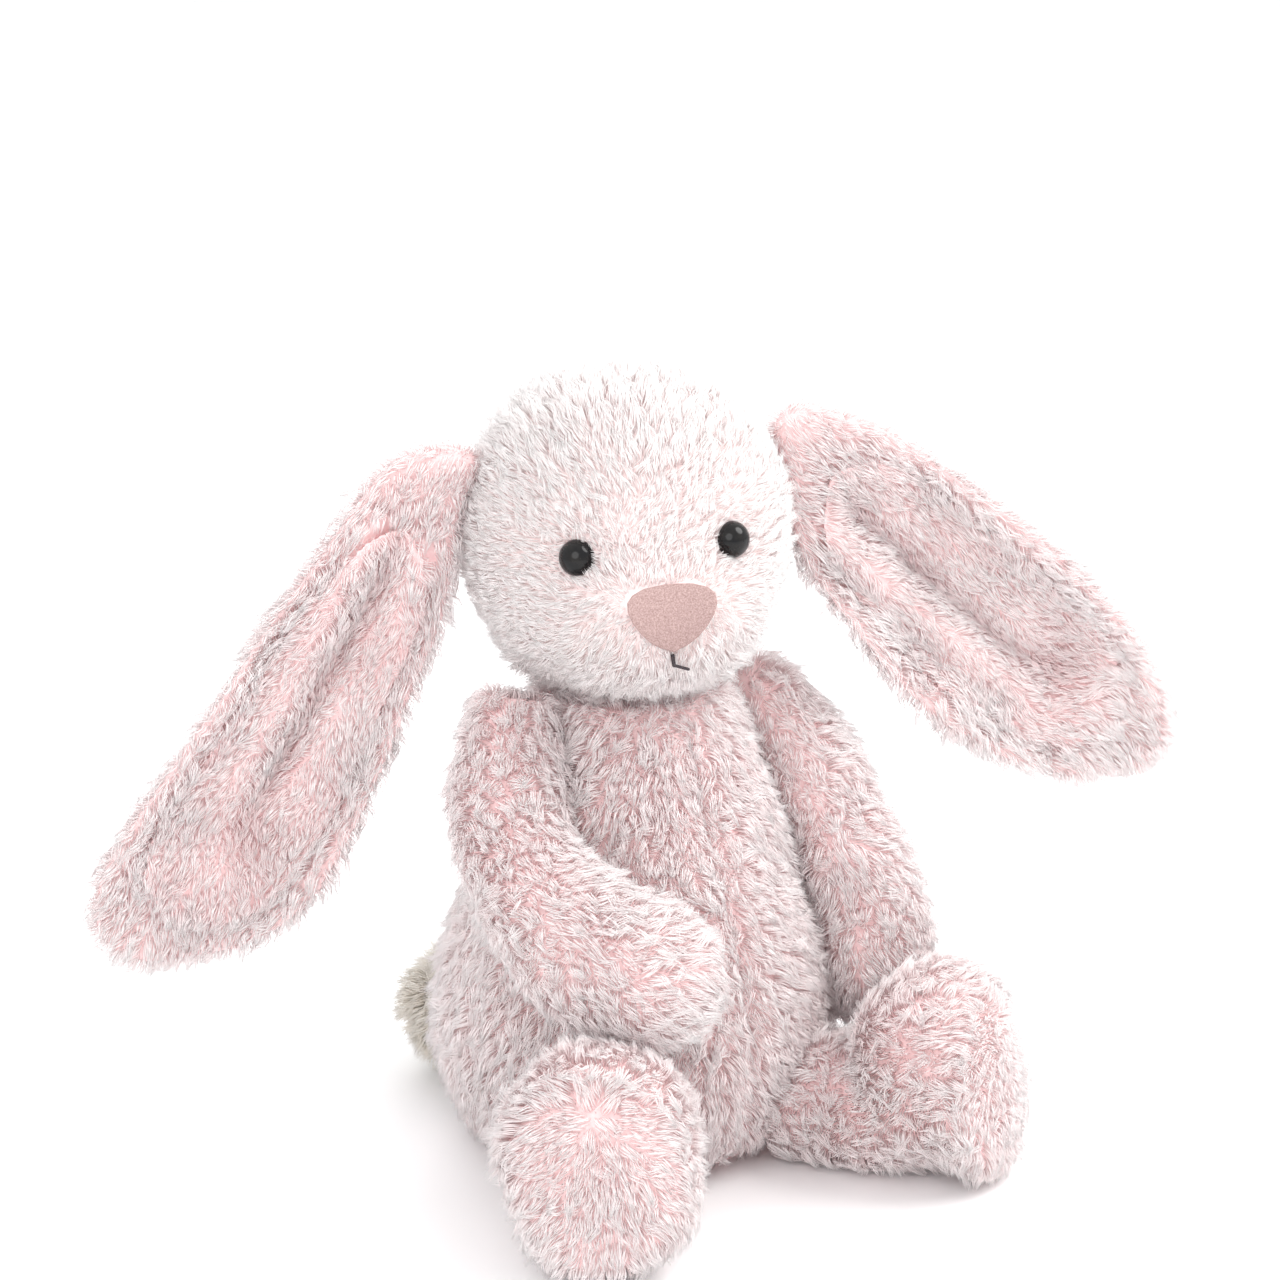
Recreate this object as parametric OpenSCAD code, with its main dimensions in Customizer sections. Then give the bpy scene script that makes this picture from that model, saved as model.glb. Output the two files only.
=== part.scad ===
// Stuffed bunny rabbit, sitting, with long lop ears, bead eyes and a pompom tail.
// Units are millimetres. Z is up, the belly faces -Y and the bunny's own left is +X.
// Fabric skins are thin cups that hold separate stuffing pieces.

/* [Fabric] */
// Thickness of the backed plush fabric of the torso, limbs and tail
skin_wall = 3; // [2:0.5:4]
// Thickness of the plush fabric of the head
head_wall = 2.5; // [2:0.5:3.5]
// Space left between a skin and the stuffing inside it
fill_gap = 0.9; // [0.3:0.1:1.5]
// Space left between the head's fabric and its stuffing
head_fill_gap = 1.4; // [0.5:0.1:2]

/* [Torso] */
// Front to back depth of the torso as a share of its width
torso_depth = 0.95; // [0.8:0.01:1]
// Height where the bean pouch ends and the soft stuffing starts
pouch_top = 24; // [15:1:35]
// Radius of the round panel the bunny sits on
seat_radius = 36; // [25:1:38]
// Thickness of the seat panel
seat_thickness = 1.6; // [1:0.1:3]

/* [Head] */
// Height of the head's centre above the seat
head_height = 171; // [160:1:185]
// Turn of the head towards the bunny's right, in degrees
head_turn = 24; // [0:1:40]
// Sideways tilt of the head, in degrees
head_tilt = 3; // [0:0.5:8]
// Radius of the stuffed ball between torso and head
neck_radius = 19; // [15:0.5:22]
// Height of the neck ball's centre
neck_height = 130.5; // [120:0.5:140]

/* [Face] */
// Radius of the glossy eye bead
eye_radius = 4.85; // [3.5:0.05:6]
// Sideways share of the direction from the head's centre to an eye
eye_side = 21; // [16:0.5:26]
// Height of a bead's flat back above the fabric
bead_rise = 1.2; // [0.7:0.1:2]
// Radius of the shank behind an eye bead
shank_radius = 1.6; // [1:0.1:2]
// Length of the shank
shank_length = 9; // [6:0.5:12]
// Radius of the lock washer on the shank
washer_radius = 5.5; // [4:0.5:7]

/* [Ears] */
// Droop of the right ear below level, in degrees
right_ear_droop = 53.5; // [20:0.5:75]
// Droop of the left ear below level, in degrees
left_ear_droop = 43.5; // [20:0.5:75]
// Backward sweep of the left ear, in degrees
left_ear_sweep = 8; // [0:1:20]

/* [Legs] */
// Radius of a leg where it joins the torso
leg_radius = 15.4; // [12:0.1:17]
// Space around a leg's round root in its socket
socket_gap = 0.6; // [0.3:0.1:1]
// Direction of the right leg, measured from straight ahead, in degrees
right_leg_turn = 41.4; // [0:0.2:60]
// Direction of the left leg, measured from straight ahead, in degrees
left_leg_turn = 30.5; // [0:0.2:60]

/* [Tail] */
// Radius of the tail's stuffed ball
tail_radius = 14.5; // [10:0.5:18]
// Turn of the tail away from straight back, in degrees
tail_turn = 14; // [0:1:20]

/* [Hidden] */
right_hip = [-31.5, -35.5, 16];
left_hip = [24.5, -41, 16];
tail_centre = [-15, 63.6, 20];
right_ear_root = [-47.3, 0, 22.8];
left_ear_root = [44, 0, 18.6];
head_centre = [0, 0, head_height];
neck_centre = [0, 0, neck_height];
muzzle_centre = [0, -25, -14];
muzzle_radii = [28, 25, 19.5];
skull_radii = [42, 41, 41.5];
segs = 36;
limb_segs = 24;

// ---------- vectors and smooth lists ----------

function unit(v) = v / norm(v);

// One value on a smooth curve through p1 and p2.
function curve_at(p0, p1, p2, p3, t) =
    0.5 * (2 * p1 + (p2 - p0) * t
    + (2 * p0 - 5 * p1 + 4 * p2 - p3) * t * t
    + (3 * p1 - p0 - 3 * p2 + p3) * t * t * t);

// A list of rows made denser: each step is split into k smooth steps.
function smooth(rows, k) =
    let (n = len(rows) - 1)
    [for (i = [0 : n - 1])
        for (j = [0 : k - 1])
            curve_at(rows[max(i - 1, 0)], rows[i], rows[i + 1], rows[min(i + 2, n)], j / k),
        rows[n]];

// ---------- rings and the closed surfaces between them ----------
// A station is [x, y, z, a, b, bow]: centre, two half widths and how far
// the ring's two sides bend along its second direction.

function centre(s) = [s[0], s[1], s[2]];

function heading(st, i) =
    unit(centre(st[min(i + 1, len(st) - 1)]) - centre(st[max(i - 1, 0)]));

// Lengthways share of the outward direction at station i.
function lean(st, i) =
    let (lo = max(i - 1, 0))
    let (hi = min(i + 1, len(st) - 1))
    let (step = norm(centre(st[hi]) - centre(st[lo])))
    let (slope = (st[hi][3] + st[hi][4] - st[lo][3] - st[lo][4]) / 2 / step)
    -slope / sqrt(1 + slope * slope);

// The same stations moved inwards by w, for the inner face of a skin.
function inset(st, w) =
    [for (i = [0 : len(st) - 1])
        let (n = lean(st, i))
        let (c = centre(st[i]) - heading(st, i) * w * n)
        let (cut = w * sqrt(1 - n * n))
        [c[0], c[1], c[2], st[i][3] - cut, st[i][4] - cut, st[i][5]]];

function ring(s, t, ref, segments) =
    let (u = unit(cross(ref, t)))
    let (v = cross(t, u))
    [for (i = [0 : segments - 1])
        let (q = 360 * i / segments)
        centre(s) + u * s[3] * cos(q) + v * (s[4] * sin(q) + s[5] * cos(q) * cos(q))];

function rings(st, ref, segments) =
    [for (i = [0 : len(st) - 1])
        each ring(st[i], heading(st, i), ref, segments)];

// Triangles between ring a and ring b, facing away from the line of centres.
function band(a, b, n) =
    [for (i = [0 : n - 1])
        let (j = (i + 1) % n)
        each [[a * n + i, b * n + j, a * n + j], [a * n + i, b * n + i, b * n + j]]];

function bands(first, last, n) =
    [for (r = [first : last - 1]) each band(r, r + 1, n)];

function flip(faces) = [for (f = faces) [f[2], f[1], f[0]]];

// Triangles from ring r to the end point with index p.
function tip(r, p, n) = [for (i = [0 : n - 1]) [r * n + i, p, r * n + (i + 1) % n]];

// A closed solid through all rings, ending in two points.
module pad(st, ref, segments, start, end) {
    m = len(st);
    pts = concat(rings(st, ref, segments), [start, end]);
    faces = concat(
        bands(0, m - 1, segments),
        tip(m - 1, m * segments + 1, segments),
        flip(tip(0, m * segments, segments)));
    polyhedron(points = pts, faces = faces, convexity = 6);
}

// A cup of fabric: open at its first ring, closed at its last.
module cup(outer, inner, ref, segments, outer_end, inner_end) {
    m = len(outer);
    pts = concat(
        rings(outer, ref, segments),
        rings(inner, ref, segments),
        [outer_end, inner_end]);
    faces = concat(
        bands(0, m - 1, segments),
        tip(m - 1, 2 * m * segments, segments),
        flip(bands(m, 2 * m - 1, segments)),
        flip(tip(2 * m - 1, 2 * m * segments + 1, segments)),
        flip(band(0, m, segments)));
    polyhedron(points = pts, faces = faces, convexity = 8);
}

// A fabric tube along a list of stations, with its closed end last.
module sleeve(st, wall, ref, segments, nose) {
    last = len(st) - 1;
    t = heading(st, last);
    end = centre(st[last]) + t * nose;
    cup(st, inset(st, wall), ref, segments, end, end - t * wall);
}

// The stuffing that fills a fabric tube.
module filling(st, wall, ref, segments, nose) {
    in = inset(st, wall + fill_gap);
    last = len(in) - 1;
    t = heading(st, last);
    pad(in, ref, segments, centre(in[0]), centre(st[last]) + t * (nose - wall - fill_gap));
}

// ---------- torso ----------
// Height and radius of the torso's outer fabric, from the seat to the neck.
torso_rows = [
    [2.6, 37], [5, 42], [10, 46.5], [18, 50.3], [28, 52.5], [42, 52.5], [56, 50],
    [70, 45.4], [84, 40], [98, 34.6], [109, 30.6], [117, 27.6], [124, 24.8], [128.5, 22.8]
];

function torso_stations(k, grow) =
    [for (r = smooth(torso_rows, k))
        [0, 0, r[0], (r[1] + grow), (r[1] + grow) * torso_depth, 0]];

// Rings are turned the other way up so that the cup opens at the neck.
function from_neck(st) = [for (i = [len(st) - 1 : -1 : 0]) st[i]];

// The opening for a leg's round root, wider outside where the leg swings.
module leg_socket(turn) {
    rotate([0, 0, turn]) translate([0, -1.8, 0]) sphere(r = leg_radius + socket_gap + 1.5, $fn = 64);
}

module leg_sockets() {
    translate(right_hip) leg_socket(2.5 - right_leg_turn);
    translate(left_hip) leg_socket(left_leg_turn - 6);
}

module torso_skin() {
    outer = from_neck(torso_stations(2, 0));
    color([0.95, 0.78, 0.79]) {
        difference() {
            cup(outer, inset(outer, skin_wall), [0, 1, 0], segs,
                [0, 0, seat_thickness + 0.2], [0, 0, seat_thickness + 0.2 + skin_wall]);
            leg_sockets();
        }
    }
}

module seat_panel() {
    color([0.93, 0.75, 0.76]) {
        cylinder(r = seat_radius, h = seat_thickness, $fn = 96);
    }
}

module bean_pouch() {
    rows = [
        [6.2, 30, 30, 0], [6.6, 37, 36, 0], [10, 42.4, 40.2, 0],
        [15, 45, 42.8, 0], [20, 46.6, 44.2, 0], [pouch_top - 0.3, 47, 44.6, 0]
    ];
    st = [for (r = rows) [0, 0, r[0], r[1], r[2], 0]];
    color([0.9, 0.87, 0.8]) {
        difference() {
            pad(st, [0, 1, 0], 28, [0, 0, 6], [0, 0, pouch_top - 0.2]);
            leg_sockets();
        }
    }
}

module torso_stuffing() {
    shrink = -skin_wall - fill_gap - 0.3;
    bowl = neck_radius + 1;
    side = [for (r = smooth(torso_rows, 1)) if (r[0] > pouch_top + 2 && r[0] < 123)
        [0, 0, r[0], r[1] + shrink, (r[1] + shrink) * torso_depth, 0]];
    dish = [for (z = [123.6, 120, 115.4, 112.2])
        let (r = sqrt(bowl * bowl - (neck_height - z) * (neck_height - z)))
        [0, 0, z, r, r * 0.98, 0]];
    st = concat(
        [[0, 0, pouch_top + 0.2, 20, 20, 0], [0, 0, pouch_top + 0.4, 47.2, 44.8, 0]],
        side,
        [[0, 0, 123.9, 20.8, 19.9, 0]],
        dish);
    // Rings are stacked with a fixed upward heading because the dish turns back down.
    pts = concat([for (s = st) each ring(s, [0, 0, 1], [0, 1, 0], 28)],
        [[0, 0, pouch_top + 0.2], [0, 0, neck_height - bowl]]);
    m = len(st);
    faces = concat(bands(0, m - 1, 28), tip(m - 1, m * 28 + 1, 28), flip(tip(0, m * 28, 28)));
    color([0.97, 0.97, 0.95]) {
        difference() {
            polyhedron(points = pts, faces = faces, convexity = 6);
            leg_sockets();
        }
    }
}

module neck_ball() {
    color([0.96, 0.8, 0.81]) {
        translate(neck_centre) {
            sphere(r = neck_radius, $fn = 64);
        }
    }
}

// ---------- head ----------
// The head is measured from its centre, facing -Y, then turned and tilted.

module placed_head() {
    translate(head_centre) {
        rotate([0, 0, -head_turn]) {
            rotate([0, -head_tilt, 0]) {
                children();
            }
        }
    }
}

function skull_reach(d) =
    1 / sqrt(pow(d[0] / skull_radii[0], 2) + pow(d[1] / skull_radii[1], 2)
    + pow(d[2] / skull_radii[2], 2));

function muzzle_reach(d) =
    let (r = muzzle_radii)
    let (m = muzzle_centre)
    let (qa = pow(d[0] / r[0], 2) + pow(d[1] / r[1], 2) + pow(d[2] / r[2], 2))
    let (qb = d[0] * m[0] / r[0] / r[0] + d[1] * m[1] / r[1] / r[1] + d[2] * m[2] / r[2] / r[2])
    let (qc = pow(m[0] / r[0], 2) + pow(m[1] / r[1], 2) + pow(m[2] / r[2], 2) - 1)
    let (root = qb * qb - qa * qc)
    root > 0 ? max((qb + sqrt(root)) / qa, 1) : 1;

eye_right = unit([-eye_side, -36.5, 3]);
eye_left = unit([eye_side, -36.5, 3]);

// Shallow hollow in the fabric around each eye.
function eye_hollow(d) =
    1.5 * exp(-pow(acos(min(1, d * eye_right)) / 13, 2))
    + 1.5 * exp(-pow(acos(min(1, d * eye_left)) / 13, 2));

// Distance from the head's centre to its fabric in direction d.
function head_reach(d) =
    pow(pow(skull_reach(d), 14) + pow(muzzle_reach(d), 14), 1 / 14) - eye_hollow(d);

// Directions are counted around the upright line through the neck, so the
// neck opening stays level while the face is tilted.
function head_direction(polar, around) =
    let (x = sin(polar) * cos(around))
    let (z = cos(polar))
    [x * cos(head_tilt) + z * sin(head_tilt), sin(polar) * sin(around),
        z * cos(head_tilt) - x * sin(head_tilt)];

crown = head_direction(0, 0);

function head_ring(polar, less, n) =
    [for (i = [0 : n - 1])
        let (d = head_direction(polar, 360 * i / n))
        d * (head_reach(d) - less)];

// Polar angles from the neck opening up to the crown.
head_polars = [150, 143, 135, 126, 117, 108, 99, 90, 81, 72, 62, 51, 40, 28, 14];

module head_shell() {
    n = 40;
    m = len(head_polars);
    pts = concat(
        [for (p = head_polars) each head_ring(p, 0, n)],
        [for (p = head_polars) each head_ring(p, head_wall, n)],
        [crown * head_reach(crown), crown * (head_reach(crown) - head_wall)]);
    faces = concat(
        bands(0, m - 1, n),
        tip(m - 1, 2 * m * n, n),
        flip(bands(m, 2 * m - 1, n)),
        flip(tip(2 * m - 1, 2 * m * n + 1, n)),
        flip(band(0, m, n)));
    polyhedron(points = pts, faces = faces, convexity = 8);
}

module on_eye(d) {
    translate(d * (head_reach(d) + bead_rise)) {
        rotate([0, acos(d[2]), atan2(d[1], d[0])]) {
            children();
        }
    }
}

module head_skin() {
    color([0.98, 0.88, 0.87]) {
        placed_head() {
            difference() {
                head_shell();
                on_eye(eye_right) {
                    translate([0, 0, -8]) cylinder(r = shank_radius + 0.25, h = 12, $fn = 24);
                }
                on_eye(eye_left) {
                    translate([0, 0, -8]) cylinder(r = shank_radius + 0.25, h = 12, $fn = 24);
                }
            }
        }
    }
}

// Reach of the head stuffing: the fabric's inside, or the neck ball when looking down.
function stuffing_reach(d) =
    let (limit = head_reach(d) - head_wall - head_fill_gap)
    let (drop = head_height - neck_height)
    let (ball = neck_radius + 1)
    let (mid = -(d * crown) * drop)
    let (root = mid * mid - drop * drop + ball * ball)
    (mid > 0 && root > 0) ? min(limit, mid - sqrt(root)) : limit;

module head_stuffing() {
    n = 28;
    polars = [172, 163, 154, 147, 138, 125, 110, 95, 80, 64, 46, 26];
    m = len(polars);
    pts = concat(
        [for (p = polars)
            for (i = [0 : n - 1])
                let (d = head_direction(p, 360 * i / n))
                d * stuffing_reach(d)],
        [-crown * stuffing_reach(-crown), crown * stuffing_reach(crown)]);
    faces = concat(bands(0, m - 1, n), tip(m - 1, m * n + 1, n), flip(tip(0, m * n, n)));
    color([0.97, 0.97, 0.95]) {
        placed_head() {
            difference() {
                polyhedron(points = pts, faces = faces, convexity = 6);
                on_eye(eye_right) {
                    translate([0, 0, -10]) cylinder(r = washer_radius + 0.5, h = 16, $fn = 36);
                }
                on_eye(eye_left) {
                    translate([0, 0, -10]) cylinder(r = washer_radius + 0.5, h = 16, $fn = 36);
                }
            }
        }
    }
}

// ---------- eyes ----------

module eye(d) {
    color([0.03, 0.03, 0.03]) {
        placed_head() {
            on_eye(d) {
                union() {
                    intersection() {
                        translate([0, 0, -0.2]) sphere(r = eye_radius, $fn = 64);
                        cylinder(r = eye_radius + 1, h = eye_radius + 1, $fn = 64);
                    }
                    translate([0, 0, -shank_length]) {
                        cylinder(r = shank_radius, h = shank_length + 0.5, $fn = 32);
                    }
                }
            }
        }
    }
}

module right_eye() {
    eye(eye_right);
}

module left_eye() {
    eye(eye_left);
}

module washer(d) {
    color([0.9, 0.9, 0.88]) {
        placed_head() {
            on_eye(d) {
                translate([0, 0, -head_wall - bead_rise - 2]) {
                    difference() {
                        cylinder(r = washer_radius, h = 1.4, $fn = 48);
                        translate([0, 0, -1]) cylinder(r = shank_radius + 0.05, h = 4, $fn = 32);
                    }
                }
            }
        }
    }
}

module right_eye_washer() {
    washer(eye_right);
}

module left_eye_washer() {
    washer(eye_left);
}

// ---------- nose and mouth ----------
// Height and half width of the padded nose, from its lower tip upwards.
nose_rows = [
    [-19.6, 1.4], [-18.6, 3.6], [-16.4, 6.4], [-13.6, 8.8], [-10.8, 10.7],
    [-8.2, 11.7], [-6.2, 11.5], [-4.8, 9.8], [-4, 6.8]
];

module nose() {
    thick = 1.3;
    st = [for (r = nose_rows)
        let (d = unit([0, -49, r[0]]))
        let (c = d * (head_reach(d) + thick + 0.3))
        [c[0], c[1], c[2], r[1], thick, 0.0165 * r[1] * r[1]]];
    pts = concat([for (s = st) each ring(s, [0, 0, 1], [0, -1, 0], 22)],
        [centre(st[0]) - [0, 0, 0.8], centre(st[len(st) - 1]) + [0, 0, 0.6]]);
    m = len(st);
    faces = concat(bands(0, m - 1, 22), tip(m - 1, m * 22 + 1, 22), flip(tip(0, m * 22, 22)));
    color([0.82, 0.66, 0.66]) {
        placed_head() {
            polyhedron(points = pts, faces = faces, convexity = 4);
        }
    }
}

module thread_piece(length, radius) {
    union() {
        cylinder(r = radius, h = length, $fn = 24);
        sphere(r = radius, $fn = 24);
        translate([0, 0, length]) sphere(r = radius, $fn = 24);
    }
}

module mouth_stitch() {
    d = unit([0, -49, -22.5]);
    color([0.28, 0.24, 0.25]) {
        placed_head() {
            translate(d * (head_reach(d) + 0.75)) {
                rotate([180 - atan2(-d[2], -d[1]), 0, 0]) {
                    union() {
                        thread_piece(2.6, 0.5);
                        translate([0, 0, 2.6]) rotate([0, 68, 0]) thread_piece(3.8, 0.4);
                    }
                }
            }
        }
    }
}

// ---------- ears ----------
// An ear lies along +X from its root, with its lined side facing -Y.
// Rows are [along, rise, half width, half thickness, cup depth].
right_ear_rows = [
    [-6, -4, 4.2, 2.8, 0], [-3.6, -2.6, 6, 3.8, 0], [0, 0, 8.6, 4.2, 0.4], [8, 2.2, 11.8, 4.2, 2],
    [20, 1, 15.2, 3.8, 4], [36, -1.4, 19, 3.3, 5.6], [56, -1.4, 21.4, 3, 6.2],
    [76, -2.4, 24, 3, 6], [96, -3, 25.8, 3, 5.4], [114, -2.6, 26.4, 3, 4.8],
    [128, -1.4, 25.4, 3, 4], [140, 1.4, 21.4, 3, 2.6], [149, 4.4, 15, 2.8, 1.2], [155.5, 6.6, 8, 2.5, 0.4]
];
left_ear_rows = [
    [-4.6, 6, 4, 2.8, 0], [-2.2, 5.4, 6.4, 3.8, 0], [1.4, 4.6, 9.2, 4.2, 0.4], [7, 3.4, 12.6, 4.2, 1.8],
    [16, 1.6, 18.2, 3.8, 4], [28, -0.6, 22.2, 3.3, 5.8], [45, -2, 25, 3, 6.6],
    [65, -3.6, 27.8, 3, 6.6], [83, -4.4, 28.8, 3, 6], [101, -4.2, 27.8, 3, 5.4],
    [119, -4, 25, 3, 4.4], [135, -3.4, 19.8, 3, 3], [147.5, -2.4, 13, 2.8, 1.4], [155, -1.6, 7, 2.5, 0.4]
];

function ear_station(r) = [r[0], 0, r[1], r[2], r[3], r[4]];

module upright_pad(st, segments) {
    m = len(st);
    n = segments;
    pts = concat(
        [for (s = st) each ring(s, [1, 0, 0], [0, -1, 0], n)],
        [centre(st[0]) - [1, 0, 0], centre(st[m - 1]) + [1.6, 0, -0.2]]);
    faces = concat(bands(0, m - 1, n), tip(m - 1, m * n + 1, n), flip(tip(0, m * n, n)));
    polyhedron(points = pts, faces = faces, convexity = 6);
}

module ear_back(rows) {
    upright_pad([for (r = smooth(rows, 2)) ear_station(r)], 24);
}

module ear_lining(ear_rows) {
    rows = smooth([for (i = [4 : 11]) ear_rows[i]], 2);
    last = len(rows) - 1;
    st = [for (i = [0 : last])
        let (r = rows[i])
        let (round = sqrt(max(0.06, 1 - pow(2 * i / last - 1, 6))))
        [r[0], -(r[3] + 1.5), r[1], r[2] * 0.76 * round, 1.1, r[4] * 0.5]];
    upright_pad(st, 22);
}

module on_right_ear() {
    placed_head() {
        translate(right_ear_root) {
            rotate([0, -right_ear_droop, 0]) {
                mirror([1, 0, 0]) children();
            }
        }
    }
}

module on_left_ear() {
    placed_head() {
        translate(left_ear_root) {
            rotate([0, left_ear_droop, 0]) {
                rotate([0, 0, left_ear_sweep]) children();
            }
        }
    }
}

module right_ear_back() {
    color([0.96, 0.82, 0.82]) on_right_ear() ear_back(right_ear_rows);
}

module right_ear_lining() {
    color([0.92, 0.7, 0.72]) on_right_ear() ear_lining(right_ear_rows);
}

module left_ear_back() {
    color([0.96, 0.82, 0.82]) on_left_ear() ear_back(left_ear_rows);
}

module left_ear_lining() {
    color([0.92, 0.7, 0.72]) on_left_ear() ear_lining(left_ear_rows);
}

// ---------- arms ----------
// Rows are [x, y, z, radius] from the shoulder to the paw.
right_arm_rows = [
    [-35.6, 2.6, 131.4, 6.2], [-36.4, 1.8, 129, 8.6], [-37.6, 0.8, 125, 10.2],
    [-41.4, -2.4, 116, 11.6], [-45.4, -7.2, 106.5, 12.6], [-48.6, -14.6, 97, 13.2],
    [-49.8, -24, 88.4, 13.8], [-48.6, -34, 80.6, 15], [-44.4, -44, 74.4, 16.4],
    [-37.6, -52.2, 70, 16.8], [-31.6, -58, 67.2, 15.2], [-27.4, -61.8, 65.4, 11.4],
    [-25.2, -63.8, 64.4, 7]
];
left_arm_rows = [
    [36.2, 0.8, 126.4, 6.2], [37, 0, 124, 8.6], [38.2, -1.4, 120, 10],
    [42.8, -6.6, 110.6, 11.4], [47.4, -14, 99.4, 12.6], [51.2, -21.4, 88, 13.2],
    [53.4, -27.8, 76.4, 13.6], [54.2, -33, 64.4, 13.8], [54.2, -37, 52.4, 13.6],
    [53.8, -39.4, 42.6, 12.6], [53.4, -40.4, 35.6, 10], [53.2, -40.8, 31.4, 6]
];

function arm_stations(rows, k) = [for (r = smooth(rows, k)) [r[0], r[1], r[2], r[3], r[3], 0]];

module right_arm_skin() {
    color([0.96, 0.8, 0.81]) {
        sleeve(arm_stations(right_arm_rows, 2), skin_wall, [1, 0, 0], limb_segs, 1.6);
    }
}

module right_arm_stuffing() {
    color([0.97, 0.97, 0.95]) {
        filling(arm_stations(right_arm_rows, 1), skin_wall, [1, 0, 0], 18, 1.6);
    }
}

module left_arm_skin() {
    color([0.96, 0.8, 0.81]) {
        sleeve(arm_stations(left_arm_rows, 2), skin_wall, [1, 0, 0], limb_segs, 1.4);
    }
}

module left_arm_stuffing() {
    color([0.97, 0.97, 0.95]) {
        filling(arm_stations(left_arm_rows, 1), skin_wall, [1, 0, 0], 18, 1.4);
    }
}

// ---------- legs ----------
// Rows are [along, rise, half height, half width] from the hip to the sole.
leg_rows = [
    [-11.4, 0, 10.3, 10.3], [-6.6, 0, 13.9, 13.9], [0, 0, 15.4, 15.4], [9, 0.3, 15.5, 15.4],
    [19, 1, 15.9, 15.8], [28, 2.4, 17.2, 16.8], [35.5, 6.8, 21.6, 20], [42, 12.2, 27, 23.4],
    [48.5, 14.2, 28.6, 24], [53.5, 15.4, 25.8, 21.6], [56.5, 16, 18.8, 15.4],
    [58, 16.2, 10.6, 8.4]
];

function leg_stations(k) = [for (r = smooth(leg_rows, k)) [0, -r[0], r[1], r[2], r[3], 0]];

module on_right_leg() {
    translate(right_hip) rotate([0, 0, -right_leg_turn]) children();
}

module on_left_leg() {
    translate(left_hip) rotate([0, 0, left_leg_turn]) children();
}

module right_leg_skin() {
    color([0.95, 0.79, 0.8]) {
        on_right_leg() sleeve(leg_stations(2), skin_wall, [1, 0, 0], limb_segs, 0.7);
    }
}

module right_leg_stuffing() {
    color([0.97, 0.97, 0.95]) {
        on_right_leg() filling(leg_stations(2), skin_wall, [1, 0, 0], 16, 0.7);
    }
}

module left_leg_skin() {
    color([0.95, 0.79, 0.8]) {
        on_left_leg() sleeve(leg_stations(2), skin_wall, [1, 0, 0], limb_segs, 0.7);
    }
}

module left_leg_stuffing() {
    color([0.97, 0.97, 0.95]) {
        on_left_leg() filling(leg_stations(2), skin_wall, [1, 0, 0], 16, 0.7);
    }
}

// ---------- tail ----------

function tail_stations(steps) =
    [for (i = [0 : steps])
        let (q = -58 + 138 * i / steps)
        [0, tail_radius * sin(q), 0, tail_radius * cos(q), tail_radius * cos(q), 0]];

module tail_skin() {
    color([0.88, 0.84, 0.78]) {
        translate(tail_centre) rotate([0, 0, tail_turn]) {
            sleeve(tail_stations(11), skin_wall, [1, 0, 0], 24, 0.25);
        }
    }
}

module tail_stuffing() {
    color([0.97, 0.97, 0.95]) {
        translate(tail_centre) rotate([0, 0, tail_turn]) {
            filling(tail_stations(8), skin_wall, [1, 0, 0], 18, 0.25);
        }
    }
}

torso_skin();
seat_panel();
torso_stuffing();
bean_pouch();
neck_ball();
head_skin();
head_stuffing();
right_eye();
left_eye();
right_eye_washer();
left_eye_washer();
nose();
mouth_stitch();
right_ear_back();
right_ear_lining();
left_ear_back();
left_ear_lining();
right_arm_skin();
right_arm_stuffing();
left_arm_skin();
left_arm_stuffing();
right_leg_skin();
right_leg_stuffing();
left_leg_skin();
left_leg_stuffing();
tail_skin();
tail_stuffing();
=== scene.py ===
"""Stuffed bunny rabbit: padded plush skins, real mesh pile, bead eyes and a suedette nose."""

import math

import bmesh
import bpy
import numpy as np
from mathutils import Matrix, Vector, kdtree


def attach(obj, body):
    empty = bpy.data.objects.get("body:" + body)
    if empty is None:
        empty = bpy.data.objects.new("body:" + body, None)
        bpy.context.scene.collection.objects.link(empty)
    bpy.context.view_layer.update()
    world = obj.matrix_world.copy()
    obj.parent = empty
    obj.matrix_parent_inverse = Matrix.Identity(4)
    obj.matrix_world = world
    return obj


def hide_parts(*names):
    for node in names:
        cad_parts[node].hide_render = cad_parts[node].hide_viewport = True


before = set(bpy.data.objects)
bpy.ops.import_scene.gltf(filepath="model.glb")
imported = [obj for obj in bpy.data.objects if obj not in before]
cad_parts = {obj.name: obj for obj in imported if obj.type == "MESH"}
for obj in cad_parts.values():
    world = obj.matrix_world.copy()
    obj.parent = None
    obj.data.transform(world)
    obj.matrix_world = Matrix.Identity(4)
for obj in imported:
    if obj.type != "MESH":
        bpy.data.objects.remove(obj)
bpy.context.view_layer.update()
MM = 0.001

# ---------- places that repeat part.scad, in metres ----------
HEAD = Vector((0, 0, 171)) * MM
HEAD_TURN = math.radians(-24)
HEAD_TILT = math.radians(-3)
RIGHT_HIP = Vector((-31.5, -35.5, 16)) * MM
LEFT_HIP = Vector((24.5, -41, 16)) * MM
RIGHT_SHOULDER = Vector((-37.6, 0.8, 125)) * MM
LEFT_SHOULDER = Vector((38.2, -1.4, 120)) * MM
TAIL = Vector((-15, 63.6, 20)) * MM
NECK = Vector((0, 0, 130.5)) * MM

# ---------- the photo's view ----------
CAMERA_AZIMUTH, CAMERA_ELEVATION, CAMERA_ROLL = -36, 15, 1
CAMERA_TARGET = Vector((2.4, -1.8, 140.3)) * MM
CAMERA_DISTANCE = 0.9
LIGHT_TARGET = Vector((0, 0, 0.1))


def turned(origin, *steps):
    """A frame at origin, turned about its own axes step by step."""
    m = Matrix.Translation(origin)
    for angle, axis in steps:
        m = m @ Matrix.Rotation(angle, 4, axis)
    return m


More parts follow.
